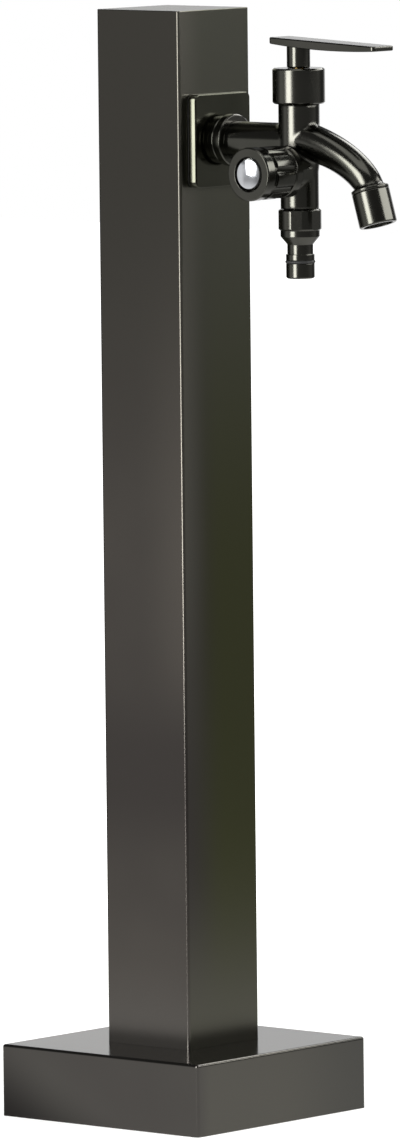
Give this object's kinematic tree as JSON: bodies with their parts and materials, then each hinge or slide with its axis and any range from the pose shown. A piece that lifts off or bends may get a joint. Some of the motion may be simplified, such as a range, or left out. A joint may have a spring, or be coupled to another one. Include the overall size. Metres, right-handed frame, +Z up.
{
  "type": "garden standpipe",
  "caption": "Garden standpipe: square steel column on a covered foot, with a lever tap, curved spout, side knob and threaded hose outlet.",
  "frame": {"origin": "centre of the column at ground level, on the underside of the base plate", "axes": "+Z up along the column, the tap reaches out along -Y, and its side knob points along -X"},
  "size_m": [0.168, 0.2668, 0.72],
  "materials": {
    "satin_gunmetal_steel": "satin gunmetal coating on folded stainless sheet",
    "polished_gunmetal_brass": "polished black gunmetal coating on cast and turned brass",
    "polished_chrome": "polished chrome",
    "raw_brass": "machined brass",
    "stainless_steel": "plain stainless steel",
    "black_rubber": "moulded rubber",
    "ceramic": "lapped ceramic",
    "grey_acetal": "moulded acetal"
  },
  "bodies": {
    "stand": {"column_tube": "satin_gunmetal_steel", "column_cap": "satin_gunmetal_steel", "base_plate": "stainless_steel", "supply_connector": "raw_brass", "connector_screws": "stainless_steel", "riser_lower_nut": "raw_brass", "riser_lower_ferrule": "raw_brass", "riser_pipe": "stainless_steel", "riser_upper_ferrule": "raw_brass", "riser_upper_nut": "raw_brass", "riser_elbow": "raw_brass", "elbow_screws": "stainless_steel", "tail_washer": "black_rubber", "flange_gasket": "black_rubber", "wall_flange": "satin_gunmetal_steel", "flange_lock_ring": "polished_gunmetal_brass", "inlet_collar": "polished_gunmetal_brass", "tap_body": "polished_gunmetal_brass", "main_headwork": "raw_brass", "main_disc_seal": "black_rubber", "main_fixed_disc": "ceramic", "bonnet_cap": "polished_gunmetal_brass", "side_headwork": "raw_brass", "side_disc_seal": "black_rubber", "side_fixed_disc": "ceramic", "side_collar": "polished_gunmetal_brass", "aerator_sleeve": "polished_gunmetal_brass", "aerator_washer": "black_rubber", "aerator_insert": "grey_acetal", "hose_adaptor": "polished_gunmetal_brass", "adaptor_washer": "black_rubber", "adaptor_o_ring": "black_rubber"},
    "lever": {"lever_handle": "polished_gunmetal_brass", "lever_grub_screw": "stainless_steel", "main_spindle": "raw_brass", "main_moving_disc": "ceramic"},
    "knob": {"side_knob": "polished_gunmetal_brass", "knob_screw": "stainless_steel", "knob_index_cap": "polished_chrome", "side_spindle": "raw_brass", "side_moving_disc": "ceramic"},
    "cover": {"base_cover": "satin_gunmetal_steel"}
  },
  "joints": [
    {"name": "lever_turn", "type": "hinge", "parent": "stand", "child": "lever", "pos_m": [0, -0.106, 0.69], "axis": [0, 0, 1], "range_deg": [0, 90]},
    {"name": "knob_turn", "type": "hinge", "parent": "stand", "child": "knob", "pos_m": [-0.03, -0.106, 0.618], "axis": [-1, 0, 0], "range_deg": [0, 90]},
    {"name": "cover_lift", "type": "slide", "parent": "stand", "child": "cover", "axis": [0, 0, 1], "range_m": [0, 0.555]}
  ]
}
